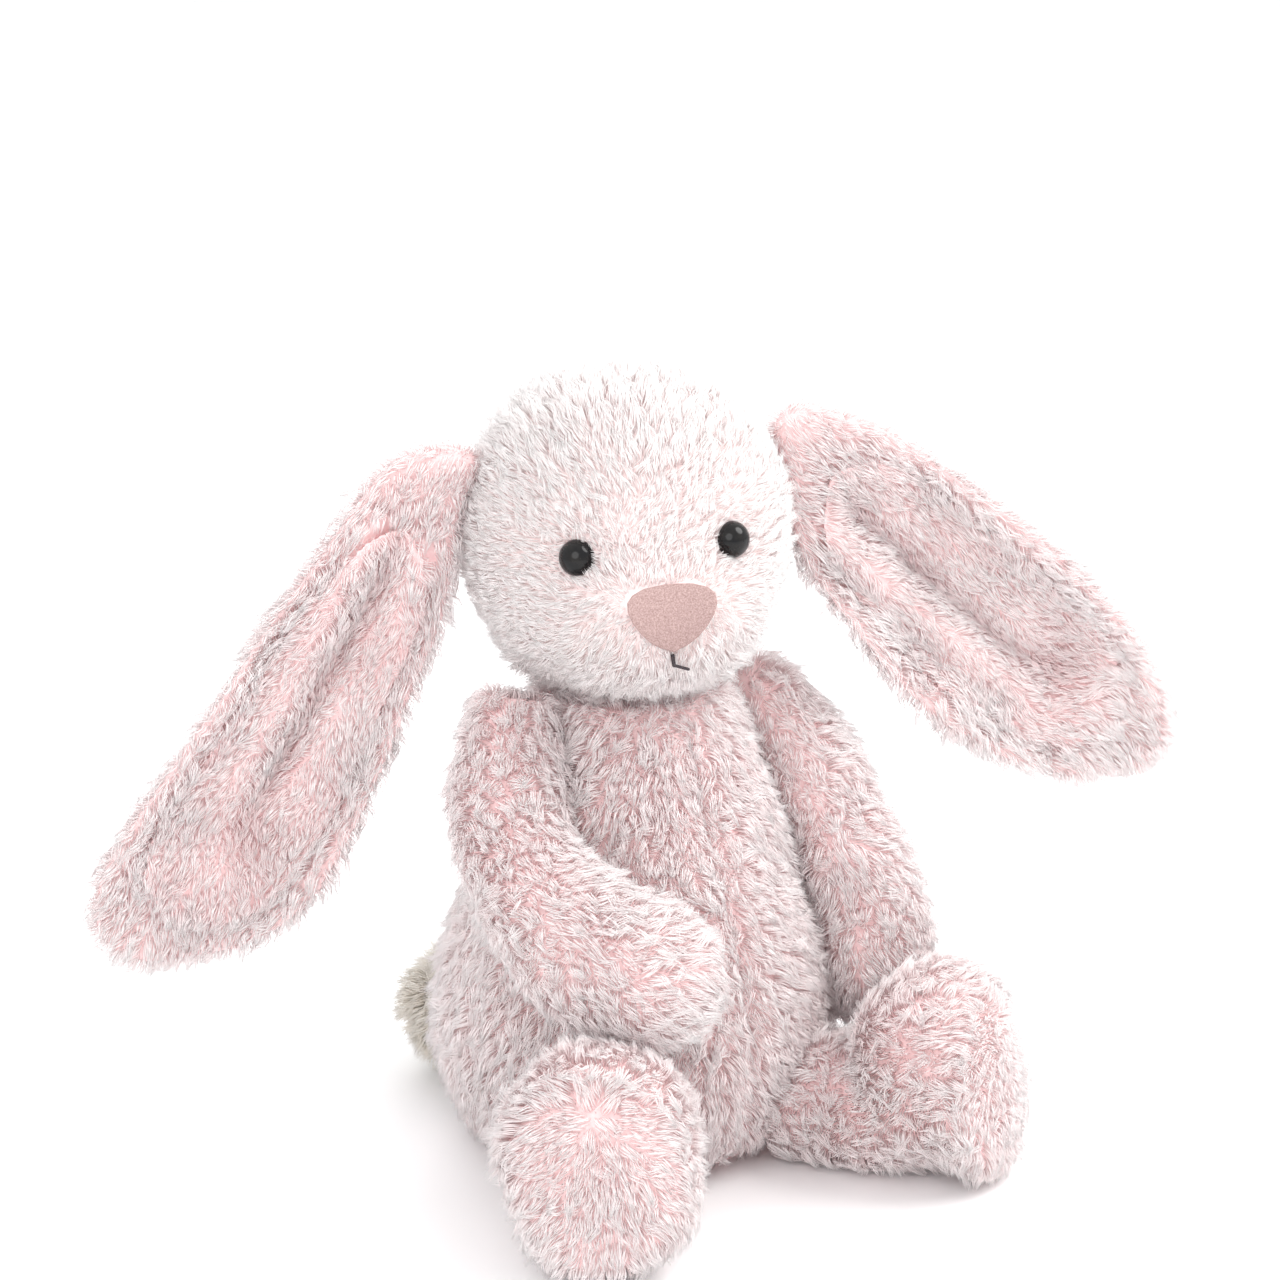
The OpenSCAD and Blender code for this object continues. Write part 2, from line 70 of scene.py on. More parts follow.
head_frame = turned(HEAD, (HEAD_TURN, "Z"), (HEAD_TILT, "Y"))
right_ear_frame = (
    head_frame
    @ Matrix.Translation(Vector((-47.3, 0, 22.8)) * MM)
    @ Matrix.Rotation(math.radians(-53.5), 4, "Y")
    @ Matrix.Diagonal((-1, 1, 1, 1))
)
left_ear_frame = (
    head_frame
    @ Matrix.Translation(Vector((44, 0, 18.6)) * MM)
    @ Matrix.Rotation(math.radians(43.5), 4, "Y")
    @ Matrix.Rotation(math.radians(8), 4, "Z")
)
right_leg_frame = turned(RIGHT_HIP, (math.radians(-41.4), "Z"))
left_leg_frame = turned(LEFT_HIP, (math.radians(30.5), "Z"))


# ---------- small vector helpers on arrays of points ----------
def unit(v):
    return v / np.maximum(np.linalg.norm(v, axis=-1, keepdims=True), 1e-9)


def dot(a, b):
    return (a * b).sum(-1, keepdims=True)


def cross(a, b):
    return np.cross(a, b)


def local(m, p):
    """Points p seen from frame m, in millimetres."""
    inv = np.array(m.inverted())
    return (p @ inv[:3, :3].T + inv[:3, 3]) / MM


def direction(m, v):
    """Directions v given in frame m, in the shared frame."""
    return unit(v @ np.array(m)[:3, :3].T)


def along(n, v):
    """The part of v that lies in the surface with normal n."""
    v = np.broadcast_to(np.asarray(v, float), n.shape)
    return unit(v - n * dot(v, n))


def smoothstep(x, low, high):
    t = np.clip((x - low) / (high - low), 0, 1)
    return t * t * (3 - 2 * t)


def bump(x, width):
    return np.exp(-((x / width) ** 2))


def waves(p, size, seed):
    """Smooth noise between about -1 and 1 at points p (metres), with waves of the given size."""
    rng = np.random.default_rng(seed)
    total = np.zeros(len(p))
    for _ in range(10):
        k = rng.normal(size=3)
        k *= rng.uniform(0.6, 1.5) * 2 * math.pi / size / np.linalg.norm(k)
        total += np.sin(p @ k + rng.uniform(0, 2 * math.pi))
    return total / 3.2


# ---------- meshes in and out of arrays ----------
def read_mesh(mesh):
    v = np.empty(len(mesh.vertices) * 3)
    mesh.vertices.foreach_get("co", v)
    n = np.empty(len(mesh.vertices) * 3)
    mesh.vertex_normals.foreach_get("vector", n)
    mesh.calc_loop_triangles()
    t = np.empty(len(mesh.loop_triangles) * 3, dtype=np.int32)
    mesh.loop_triangles.foreach_get("vertices", t)
    return v.reshape(-1, 3), n.reshape(-1, 3), t.reshape(-1, 3)


def write_vertices(mesh, v):
    mesh.vertices.foreach_set("co", np.ascontiguousarray(v, dtype=np.float32).ravel())
    mesh.update()


def new_object(name, mesh):
    obj = bpy.data.objects.new(name, mesh)
    bpy.context.scene.collection.objects.link(obj)
    return obj


def applied(obj):
    """The object's mesh with its modifiers applied, as a new mesh."""
    dg = bpy.context.evaluated_depsgraph_get()
    return bpy.data.meshes.new_from_object(obj.evaluated_get(dg))


def keep_largest(mesh):
    """Leaves only the largest connected piece of a mesh."""
    bm = bmesh.new()
    bm.from_mesh(mesh)
    left, best = set(bm.verts), []
    while left:
        seed = left.pop()
        island, stack = [seed], [seed]
        while stack:
            for e in stack.pop().link_edges:
                for w in e.verts:
                    if w in left:
                        left.remove(w)
                        island.append(w)
                        stack.append(w)
        if len(island) > len(best):
            best = island
    keep = set(best)
    bmesh.ops.delete(bm, geom=[v for v in bm.verts if v not in keep], context="VERTS")
    bm.to_mesh(mesh)
    bm.free()


def padded_skin(name, nodes, voxel, smooth=6):
    """One closed skin around CAD nodes: joined, remeshed and smoothed."""
    bm = bmesh.new()
    for node in nodes:
        bm.from_mesh(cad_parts[node].data)
    mesh = bpy.data.meshes.new(name)
    bm.to_mesh(mesh)
    bm.free()
    obj = new_object(name, mesh)
    remesh = obj.modifiers.new("remesh", "REMESH")
    remesh.mode = "VOXEL"
    remesh.voxel_size = voxel * MM
    soften = obj.modifiers.new("soften", "SMOOTH")
    soften.iterations = smooth
    soften.factor = 0.5
    mesh = applied(obj)
    obj.modifiers.clear()
    obj.data = mesh
    mesh.name = name
    mesh.materials.clear()
    keep_largest(mesh)
    mesh.shade_smooth()
    return obj


# ---------- materials ----------
def material(name):
    m = bpy.data.materials.new(name)
    m.use_nodes = True
    nodes = m.node_tree.nodes
    return m, nodes, m.node_tree.links, nodes["Principled BSDF"]


def ramp(nodes, links, source, stops):
    r = nodes.new("ShaderNodeValToRGB")
    while len(r.color_ramp.elements) > 1:
        r.color_ramp.elements.remove(r.color_ramp.elements[-1])
    for i, (at, colour) in enumerate(stops):
        e = r.color_ramp.elements[0] if i == 0 else r.color_ramp.elements.new(at)
        e.position = at
        e.color = (*colour, 1)
    links.new(source, r.inputs["Fac"])
    return r.outputs["Color"]


def pile_material(name, deep, pale, sheen=0.25):
    """Pile coloured along each strand (v) and from strand to strand (u); u also carries painted shade
    where a part's tint runs deep.
    """
    m, nodes, links, shader = material(name)
    uv = nodes.new("ShaderNodeUVMap")
    uv.uv_map = "OFBake"
    xyz = nodes.new("ShaderNodeSeparateXYZ")
    links.new(uv.outputs["UV"], xyz.inputs["Vector"])
    a = ramp(nodes, links, xyz.outputs["Y"], deep)
    b = ramp(nodes, links, xyz.outputs["Y"], pale)
    mix = nodes.new("ShaderNodeMix")
    mix.data_type = "RGBA"
    links.new(xyz.outputs["X"], mix.inputs["Factor"])
    links.new(a, mix.inputs["A"])
    links.new(b, mix.inputs["B"])
    links.new(mix.outputs["Result"], shader.inputs["Base Color"])
    shader.inputs["Roughness"].default_value = 0.72
    shader.inputs["Specular IOR Level"].default_value = 0.25
    shader.inputs["Sheen Weight"].default_value = sheen
    shader.inputs["Sheen Roughness"].default_value = 0.5
    return m


def cloth_material(name, dark, light, scale=900.0, bump_size=0.25):
    """Backing cloth under the pile: mottled colour and a fine knit bump."""
    m, nodes, links, shader = material(name)
    place = nodes.new("ShaderNodeTexCoord")
    noise = nodes.new("ShaderNodeTexNoise")
    noise.inputs["Scale"].default_value = scale
    noise.inputs["Detail"].default_value = 3
    links.new(place.outputs["Object"], noise.inputs["Vector"])
    links.new(
        ramp(nodes, links, noise.outputs["Fac"], [(0.3, dark), (0.7, light)]),
        shader.inputs["Base Color"],
    )
    b = nodes.new("ShaderNodeBump")
    b.inputs["Strength"].default_value = bump_size
    b.inputs["Distance"].default_value = 0.0004
    links.new(noise.outputs["Fac"], b.inputs["Height"])
    links.new(b.outputs["Normal"], shader.inputs["Normal"])
    shader.inputs["Roughness"].default_value = 0.9
    shader.inputs["Specular IOR Level"].default_value = 0.15
    return m


PINK_DEEP = [(0.0, (0.965, 0.79, 0.79)), (0.45, (0.975, 0.86, 0.86)), (1.0, (0.985, 0.915, 0.912))]
PINK_PALE = [(0.0, (0.975, 0.86, 0.858)), (0.45, (0.985, 0.93, 0.928)), (1.0, (0.995, 0.97, 0.968))]
FACE_DEEP = [(0.0, (0.97, 0.84, 0.835)), (0.45, (0.985, 0.92, 0.915)), (1.0, (0.99, 0.955, 0.95))]
FACE_PALE = [(0.0, (0.98, 0.9, 0.895)), (0.45, (0.99, 0.96, 0.955)), (1.0, (0.997, 0.985, 0.98))]
# The lining's deep ramp is mostly the painted shade that inner_tint puts into the ear's folds.
LINING_DEEP = [(0.0, (0.92, 0.64, 0.64)), (0.45, (0.955, 0.76, 0.76)), (1.0, (0.97, 0.85, 0.85))]
LINING_PALE = [(0.0, (0.97, 0.86, 0.858)), (0.45, (0.985, 0.93, 0.928)), (1.0, (0.993, 0.968, 0.965))]
CREAM_DEEP = [(0.0, (0.66, 0.60, 0.52)), (0.45, (0.80, 0.74, 0.66)), (1.0, (0.86, 0.81, 0.74))]
CREAM_PALE = [(0.0, (0.78, 0.72, 0.64)), (0.45, (0.89, 0.85, 0.78)), (1.0, (0.95, 0.92, 0.87))]

pile_pink = pile_material("pile_pink", PINK_DEEP, PINK_PALE)
pile_face = pile_material("pile_face", FACE_DEEP, FACE_PALE)
pile_lining = pile_material("pile_lining", LINING_DEEP, LINING_PALE)
pile_cream = pile_material("pile_cream", CREAM_DEEP, CREAM_PALE)
# The pink and face backing cloths are deeper than their pile: partly their own colour, partly painted
# shade for the gaps between strands.
cloth_pink = cloth_material("cloth_pink", (0.91, 0.65, 0.65), (0.95, 0.74, 0.74))
cloth_face = cloth_material("cloth_face", (0.94, 0.78, 0.77), (0.97, 0.85, 0.84))
cloth_cream = cloth_material("cloth_cream", (0.55, 0.49, 0.42), (0.66, 0.60, 0.52))


# ---------- pile ----------
STRANDS = 19900  # most strands in one piece


def strands(roots, mids, tips, width, tint, rng):
    """Arrays for closed three-sided strands: one bend, a flat root and a pointed tip."""
    n = len(roots)
    d = unit(tips - roots)
    side = unit(cross(d, unit(rng.normal(size=(n, 3)))))
    other = cross(d, side)
    corners = [(math.cos(q), math.sin(q)) for q in (0, 2 * math.pi / 3, 4 * math.pi / 3)]
    verts = np.empty((n, 7, 3))
    uv = np.empty((n, 7, 2))
    for i, (c, s) in enumerate(corners):
        out = (side * c + other * s) * width[:, None]
        verts[:, i] = roots + out * 0.5
        verts[:, 3 + i] = mids + out * 0.42
        uv[:, i, 0] = uv[:, 3 + i, 0] = tint + (i - 1) * 0.012
    verts[:, 6] = tips
    uv[:, 6, 0] = tint
    uv[:, 0:3, 1] = 0.02
    uv[:, 3:6, 1] = 0.5
    uv[:, 6, 1] = 0.98
    uv = np.clip(uv, 0.004, 0.996)
    quads = [(0, 1, 4, 3), (1, 2, 5, 4), (2, 0, 3, 5)]
    tris = [(3, 4, 6), (4, 5, 6), (5, 3, 6), (0, 2, 1)]
    loops = np.array(sum(map(list, quads + tris), []))
    totals = np.array([4] * 3 + [3] * 4)
    return verts, uv, loops, totals


def strand_mesh(name, verts, uv, loops, totals):
    n = len(verts)
    mesh = bpy.data.meshes.new(name)
    index = (loops[None, :] + 7 * np.arange(n)[:, None]).astype(np.int32).ravel()
    total = np.tile(totals, n).astype(np.int32)
    start = np.concatenate([[0], np.cumsum(total)[:-1]]).astype(np.int32)
    mesh.vertices.add(n * 7)
    mesh.vertices.foreach_set("co", verts.astype(np.float32).ravel())
    mesh.loops.add(len(index))
    mesh.loops.foreach_set("vertex_index", index)
    mesh.polygons.add(len(total))
    mesh.polygons.foreach_set("loop_start", start)
    mesh.polygons.foreach_set("loop_total", total)
    mesh.update(calc_edges=True)
    layer = mesh.uv_layers.new(name="OFBake")
    layer.data.foreach_set("uv", uv.reshape(-1, 2)[index].astype(np.float32).ravel())
    mesh.shade_smooth()
    return mesh


def scatter(v, n, t, per_mm2, rng):
    """Even random points on a triangle mesh, with their smooth normals."""
    a, b, c = v[t[:, 0]], v[t[:, 1]], v[t[:, 2]]
    area = np.linalg.norm(cross(b - a, c - a), axis=1) / 2
    cum = np.cumsum(area)
    count = int(cum[-1] / MM**2 * per_mm2)
    at = (np.arange(count) + rng.uniform(size=count)) / count * cum[-1]
    pick = np.clip(np.searchsorted(cum, at), 0, len(t) - 1)
    r, s = np.sqrt(rng.uniform(size=count)), rng.uniform(size=count)
    w = np.stack([1 - r, r * (1 - s), r * s], 1)[:, :, None]
    tri = t[pick]
    return (v[tri] * w).sum(1), unit((n[tri] * w).sum(1))


def nearest(points, centres):
    tree = kdtree.KDTree(len(centres))
    for i, c in enumerate(centres):
        tree.insert(c, i)
    tree.balance()
    return np.array([tree.find(p)[1] for p in points])


def grow(name, host, body, mat, flow, length, tint, keep=None, per_mm2=2.4, width=0.25,
         lay=0.9, clump=2.6, hold=0.74, ruffle=0.42, seed=1, floor=True):
    """Grows pile on host as closed strands that ride on body, in pieces of at most STRANDS strands.

    flow, length (mm), tint (0 deep to 1 pale) and keep are functions of points and normals.
    """
    rng = np.random.default_rng(seed)
    v, n, t = read_mesh(host.data)
    p, nrm = scatter(v, n, t, per_mm2, rng)
    if keep is not None:
        ok = keep(p, nrm)
        p, nrm = p[ok], nrm[ok]
    count = len(p)
    f = flow(p, nrm)
    size = length(p, nrm) * rng.uniform(0.78, 1.12, count)
    dark = tint(p, nrm)

    # Each strand leans with the nap, then is drawn towards its own tuft.
    picks = rng.permutation(count)[: max(8, int(count / per_mm2 / clump**2))]
    mine = nearest(p, p[picks])
    lean = rng.normal(size=(len(picks), 3)) * ruffle
    up_c = nrm[picks]
    tuft_dir = unit(up_c + f[picks] * lay + lean)
    tuft_len = size[picks] * rng.uniform(0.85, 1.15, len(picks))
    tuft_tint = rng.normal(size=len(picks)) * 0.13

    own = unit(nrm + f * lay + lean[mine] * 0.5 + rng.normal(size=(count, 3)) * 0.22)
    offset = p - p[picks][mine]
    reach = (size * MM)[:, None]
    tuft_reach = (tuft_len * MM)[mine][:, None]
    tip = p + own * reach
    tuft_tip = p[picks][mine] + tuft_dir[mine] * tuft_reach + offset * 0.22
    pull = rng.uniform(hold * 0.6, min(1.0, hold * 1.3), count)[:, None]
    tip = tip * (1 - pull) + tuft_tip * pull
    mid = p + unit(nrm * 1.25 + own * 0.8) * reach * 0.5
    tuft_mid = p[picks][mine] + unit(up_c + tuft_dir * 0.9)[mine] * tuft_reach * 0.5 + offset * 0.75
    mid = mid * (1 - pull * 0.45) + tuft_mid * pull * 0.45
    root = p - nrm * 0.5 * MM
    if floor:
        for points in (mid, tip):
            lifted = 0.0012 + 0.25 * np.abs(points[:, 2])
            points[:, 2] = np.where(points[:, 2] < 0.0012, lifted, points[:, 2])
    w = width * MM * rng.uniform(0.75, 1.2, count)
    shade = np.clip(dark + tuft_tint[mine] + rng.normal(size=count) * 0.08, 0.02, 0.98)
    verts, uv, loops, totals = strands(root, mid, tip, w, shade, rng)
    parts = math.ceil(count / STRANDS)
    for i in range(parts):
        part = f"{name}_{i + 1}" if parts > 1 else name
        obj = new_object(part, strand_mesh(part, verts[i::parts], uv[i::parts], loops, totals))
        obj.data.materials.append(mat)
        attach(obj, body)


# ---------- torso ----------
def shaped(obj, change):
    """Moves the object's vertices by change(points, normals) in metres."""
    v, n, _ = read_mesh(obj.data)
    write_vertices(obj.data, v + change(v, n))


def torso_shape(p, n):
    q = p / MM
    front = (q[:, 1] < 0) & (q[:, 2] > 8)
    back = (q[:, 1] > 0) & (q[:, 2] > 8)
    depth = -1.6 * bump(q[:, 0], 2.2) * front * smoothstep(q[:, 2], 10, 40)
    depth -= 1.0 * bump(q[:, 0], 2.0) * back
    side = np.abs(np.arctan2(q[:, 1] + 2, np.abs(q[:, 0])))
    depth -= 0.8 * bump(side * np.hypot(q[:, 0], q[:, 1]), 2.2)
    depth += 0.9 * waves(p, 0.045, 3)
    depth *= smoothstep(q[:, 2], 2, 8)
    return n * (depth * MM)[:, None]


torso = padded_skin("torso_plush", ["torso_skin", "torso_stuffing", "bean_pouch"], 1.9)
shaped(torso, torso_shape)
torso.data.materials.append(cloth_pink)
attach(torso, "torso")
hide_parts("torso_skin")


def away_from(points, spots):
    """Least distance in mm from each point to a list of spots."""
    return np.min([np.linalg.norm((points - np.array(s)) / MM, axis=1) for s in spots], axis=0)


def torso_keep(p, n):
    return (away_from(p, [RIGHT_HIP, LEFT_HIP]) > 16.5) & (p[:, 2] > 2.2 * MM) & (
        away_from(p, [NECK]) > 20.5
    )


def torso_flow(p, n):
    q = p / MM
    fan = np.stack([np.sign(q[:, 0]) * 0.55 * smoothstep(np.abs(q[:, 0]), 0, 12), 0 * q[:, 1],
                    -np.ones(len(q))], 1)
    fan[:, 0] += 0.35 * waves(p, 0.07, 11)
    fan[:, 2] += 0.25 * waves(p, 0.05, 12)
    return along(n, unit(fan))


def torso_length(p, n):
    q = p / MM
    seam = bump(q[:, 0], 2.5) * (q[:, 1] < 0)
    short_below = 0.55 + 0.45 * smoothstep(q[:, 2], 2, 12)
    return 7.4 * (1 - 0.45 * seam) * (1 + 0.1 * waves(p, 0.03, 13)) * short_below


def torso_tint(p, n):
    q = p / MM
    # Deeper strands along the centre-front seam: painted shade in the seam's parting.
    seam = bump(q[:, 0], 3) * (q[:, 1] < 0)
    # Deeper strands near the shoulders and around the leg sockets: painted shade where arms and legs
    # meet the torso.
    tuck_shade = bump(away_from(p, [RIGHT_SHOULDER, LEFT_SHOULDER]), 22)
    hip_shade = bump(away_from(p, [RIGHT_HIP, LEFT_HIP]) - 15, 9)
    return 0.55 - 0.3 * seam - 0.35 * tuck_shade - 0.25 * hip_shade + 0.13 * waves(p, 0.035, 14)


grow("torso_pile", torso, "torso", pile_pink, torso_flow, torso_length, torso_tint,
     keep=torso_keep, seed=21)

# ---------- neck ----------
neck = padded_skin("neck_plush", ["neck_ball"], 1.9)
neck.data.materials.append(cloth_pink)
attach(neck, "neck")
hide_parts("neck_ball")
# The neck's pile is tinted deeper than the torso's: painted shade in the crease between head and
# torso.
grow("neck_pile", neck, "neck", pile_pink,
     lambda p, n: along(n, (0, 0, -1)),
     lambda p, n: np.full(len(p), 6.5),
     lambda p, n: np.full(len(p), 0.35),
     keep=lambda p, n: np.abs(p[:, 2] / MM - 131.5) < 7,
     lay=0.5, seed=22)

# ---------- head ----------
EYE = unit(np.array([21, -36.5, 3.0]))
NOSE_HEIGHTS = [-20.4, -19.6, -18.6, -16.4, -13.6, -10.8, -8.2, -6.2, -4.8, -3.4]
NOSE_WIDTHS = [0, 1.4, 3.6, 6.4, 8.8, 10.7, 11.7, 11.5, 9.8, 0]


def head_shape(p, n):
    q = local(head_frame, p)
    depth = 0.7 * waves(p, 0.04, 31)
    crown = (q[:, 2] > 5) & (q[:, 1] < 30)
    depth -= 0.7 * bump(np.abs(q[:, 0]) - 13 - 0.2 * q[:, 2], 2.0) * crown
    chin = (q[:, 2] < -20) & (q[:, 1] < -20)
    depth -= 1.0 * bump(q[:, 0], 2.4) * chin
    return n * (depth * MM)[:, None]


head = padded_skin("head_plush", ["head_skin", "head_stuffing"], 1.7)
shaped(head, head_shape)
head.data.materials.append(cloth_face)
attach(head, "head")
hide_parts("head_skin")


def eye_distance(q):
    d = unit(q)
    return np.minimum(np.arccos(np.clip(d @ EYE, -1, 1)),
                      np.arccos(np.clip(d @ (EYE * (-1, 1, 1)), -1, 1))) * 42


def nose_margin(q):
    """Distance outside the nose's outline in mm, roughly; negative under it."""
    half = np.interp(q[:, 2], NOSE_HEIGHTS, NOSE_WIDTHS, left=0, right=0)
    sideways = np.abs(q[:, 0]) - half
    below = np.maximum(-19.8 - q[:, 2], q[:, 2] + 3.6)
    out = np.maximum(sideways * 0.8, below)
    return np.where(q[:, 1] < -25, out, 50)


def head_keep(p, n):
    q = local(head_frame, p)
    return (eye_distance(q) > 3.9) & (nose_margin(q) > -0.7) & (
        away_from(p, [NECK]) > 20.2
    )


def head_flow(p, n):
    q = local(head_frame, p)
    v = q - np.array([0, -58, -9.0])
    v[:, 2] += 10 * smoothstep(q[:, 1], -45, -30)
    v[:, 0] += 14 * waves(p, 0.03, 33)
    v[:, 2] += 14 * waves(p, 0.03, 34)
    return along(n, direction(head_frame, unit(v)))


def head_length(p, n):
    q = local(head_frame, p)
    crown = 2.4 * smoothstep(q[:, 2], 15, 36)
    chin = 3.0 * smoothstep(-q[:, 2], 18, 32)
    size = 5.2 + 1.3 * smoothstep(q[:, 1], -30, 20) + crown + chin
    size *= 0.55 + 0.45 * smoothstep(eye_distance(q), 4, 10)
    return size * (0.6 + 0.4 * smoothstep(nose_margin(q), 0, 5)) * (1 + 0.12 * waves(p, 0.02, 35))


def head_tint(p, n):
    q = local(head_frame, p)
    low = smoothstep(-q[:, 2], 5, 38)
    # Darker towards the chin, around the eye sockets and at the nose's edge: painted shade under the
    # head and in the recesses.
    return 0.72 - 0.3 * low - 0.35 * bump(eye_distance(q) - 4, 4) - 0.2 * bump(nose_margin(q), 2.5) \
        + 0.1 * waves(p, 0.025, 36)


grow("head_pile", head, "head", pile_face, head_flow, head_length, head_tint,
     keep=head_keep, per_mm2=2.6, width=0.24, lay=1.0, clump=2.2, ruffle=0.4, seed=23)


# ---------- ears ----------
# By side (1 right, -1 left), in mm: places along the ear, the middle of its width there, and the
# half width of its lining.
EAR_SHAPES = {
    1: ([14, 20, 36, 56, 76, 96, 114, 128, 136],
        [1, 1, -1.4, -1.4, -2.4, -3, -2.6, -1.4, 1],
        [6, 10.5, 14.3, 17.3, 19.5, 21, 21.2, 18.5, 9]),
    -1: ([12, 16, 28, 45, 65, 83, 101, 119, 131, 139],
         [2, 1.6, -0.6, -2, -3.6, -4.4, -4.2, -4, -3.5, -3],
         [6, 10.5, 16, 19, 21.5, 22.3, 21.2, 18, 12, 5]),
}


def across(q, side):
    """Distance from the middle of an ear's width, in mm."""
    x, middle, _ = EAR_SHAPES[side]
    return q[:, 2] - np.interp(q[:, 0], x, middle)


def lined_half(q, side):
    """Half width of the lining at each point, in mm."""
    x, _, half = EAR_SHAPES[side]
    return np.interp(q[:, 0], x, half)


def ear_fold(q, side):
    """How far an ear's cloth is pushed back (+) or forward (-), in mm, at local points."""
    x, z = q[:, 0], across(q, side)
    run = smoothstep(x, 12, 34) * (1 - smoothstep(x, 88, 118))
    channel = 5.2 * bump(z - (2.0 - 0.02 * x) * side, 4.6) * run
    ridge = -3.0 * bump(z - (11 - 0.03 * x) * side, 4.2) * run
    pocket = 3.2 * bump(x - 112, 9) * bump(z + 3 * side, 12)
    fade = 1 - 0.6 * smoothstep(x, 95, 145)
    roll = -5.5 * smoothstep(np.abs(z), 15, 28) * smoothstep(x, 10, 45) * fade
    return channel + ridge + pocket + roll


def ear(side_name, m, side):
    """Back, lining and pile of one ear; side is +1 where the channel lies above the middle."""
    body = side_name + "_ear"
    back_dir = direction(m, np.array([[0.0, 1.0, 0.0]]))[0]

    def shape(p, n):
        q = local(m, p)
        push = ear_fold(q, side) + 1.1 * waves(p, 0.03, 41) * smoothstep(q[:, 0], 8, 30)
        return back_dir[None, :] * (push * MM * smoothstep(q[:, 0], 4, 22))[:, None]

    back = padded_skin(side_name + "_ear_plush", [body + "_back"], 1.2, smooth=3)
    shaped(back, shape)
    back.data.materials.append(cloth_pink)
    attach(back, body)
    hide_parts(body + "_back")
    lining = padded_skin(side_name + "_ear_inner", [body + "_lining"], 0.8, smooth=3)
    shaped(lining, shape)
    lining.data.materials.append(cloth_pink)
    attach(lining, body)
    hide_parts(body + "_lining")

    def flow(p, n):
        q = local(m, p)
        v = np.stack([np.ones(len(q)), 0 * q[:, 0], q[:, 2] / 45 + 0.3 * waves(p, 0.05, 42)], 1)
        return along(n, direction(m, unit(v)))

    def length(p, n):
        q = local(m, p)
        return 6.8 * (0.7 + 0.3 * smoothstep(q[:, 0], 0, 25)) * (1 + 0.12 * waves(p, 0.03, 43))

    def facing(p, n):
        """+1 on the lined side, -1 on the back."""
        return -(n @ back_dir)

    def back_keep(p, n):
        q = local(m, p)
        under = (facing(p, n) > 0.3) & (np.abs(across(q, side)) < lined_half(q, side) - 1.5) & (
            q[:, 0] > 18) & (q[:, 0] < 132)
        return ~under

    def back_tint(p, n):
        q = local(m, p)
        rim = np.abs(across(q, side)) - lined_half(q, side)
        inner = smoothstep(facing(p, n), 0.1, 0.8) * bump(rim, 5)
        # Darker near the ear's root: painted shade where the ear meets the head.
        root = 1 - smoothstep(q[:, 0], 5, 30)
        return 0.72 - 0.05 * inner - 0.15 * root + 0.13 * waves(p, 0.03, 44)

    def inner_tint(p, n):
        q = local(m, p)
        # Darker where the cloth is pushed back into the ear's channel: painted shade in the folds.
        deep = smoothstep(ear_fold(q, side), 0.5, 4.5)
        return 0.74 - 0.5 * deep + 0.12 * waves(p, 0.025, 45)

    def inner_length(p, n):
        return 0.78 * length(p, n)

    grow(side_name + "_ear_pile", back, body, pile_pink, flow, length, back_tint,
         keep=back_keep, per_mm2=2.2, lay=1.25, seed=24 if side > 0 else 25)
    grow(side_name + "_ear_inner_pile", lining, body, pile_lining, flow, inner_length,
         inner_tint, keep=lambda p, n: facing(p, n) > -0.2, per_mm2=2.2, lay=1.3,
         seed=26 if side > 0 else 27)


ear("right", right_ear_frame, 1)
ear("left", left_ear_frame, -1)

# ---------- arms ----------
RIGHT_ARM = [(-35.6, 2.6, 131.4), (-37.6, 0.8, 125), (-41.4, -2.4, 116), (-45.4, -7.2, 106.5),
             (-48.6, -14.6, 97), (-49.8, -24, 88.4), (-48.6, -34, 80.6), (-44.4, -44, 74.4),
             (-37.6, -52.2, 70), (-31.6, -58, 67.2), (-25.2, -63.8, 64.4)]
LEFT_ARM = [(36.2, 0.8, 126.4), (38.2, -1.4, 120), (42.8, -6.6, 110.6), (47.4, -14, 99.4),
            (51.2, -21.4, 88), (53.4, -27.8, 76.4), (54.2, -33, 64.4), (54.2, -37, 52.4),
            (53.8, -39.4, 42.6), (53.2, -40.8, 31.4)]


def arm(name, spine, seed):
    spine = np.array(spine)
    centres = (spine[1:] + spine[:-1]) / 2
    steps = unit(spine[1:] - spine[:-1])
    total = len(centres) - 1

    def place(p):
        q = p / MM
        d = np.linalg.norm(q[:, None, :] - centres[None], axis=2)
        w = np.exp(-((d - d.min(1, keepdims=True)) / 5))
        w /= w.sum(1, keepdims=True)
        return w @ steps, (w @ np.arange(total + 1)) / total

    def flow(p, n):
        t, _ = place(p)
        v = t + 0.3 * waves(p, 0.04, seed)[:, None] * cross(n, t)
        return along(n, unit(v))

    def length(p, n):
        _, s = place(p)
        return (6.6 + 0.9 * s) * (1 + 0.12 * waves(p, 0.03, seed + 1))

    def tint(p, n):
        _, s = place(p)
        inward_shade = smoothstep(-(n @ unit(np.array([spine[3][0], spine[3][1], 0]))), 0.0, 0.9)
        # Darker on the side facing the body and at the shoulder: painted shade between arm and torso.
        return 0.5 + 0.2 * s - 0.3 * inward_shade - 0.2 * bump(s, 0.15) + 0.12 * waves(p, 0.03, seed + 2)

    def shape(p, n):
        _, s = place(p)
        depth = 0.9 * waves(p, 0.03, seed + 3) - 0.9 * bump(s - 0.48, 0.05)
        return n * (depth * MM)[:, None]

    skin = padded_skin(name + "_plush", [name + "_skin", name + "_stuffing"], 1.6)
    shaped(skin, shape)
    skin.data.materials.append(cloth_pink)
    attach(skin, name)
    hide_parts(name + "_skin")
    grow(name + "_pile", skin, name, pile_pink, flow, length, tint,
         seed=seed)


arm("right_arm", RIGHT_ARM, 51)
arm("left_arm", LEFT_ARM, 61)


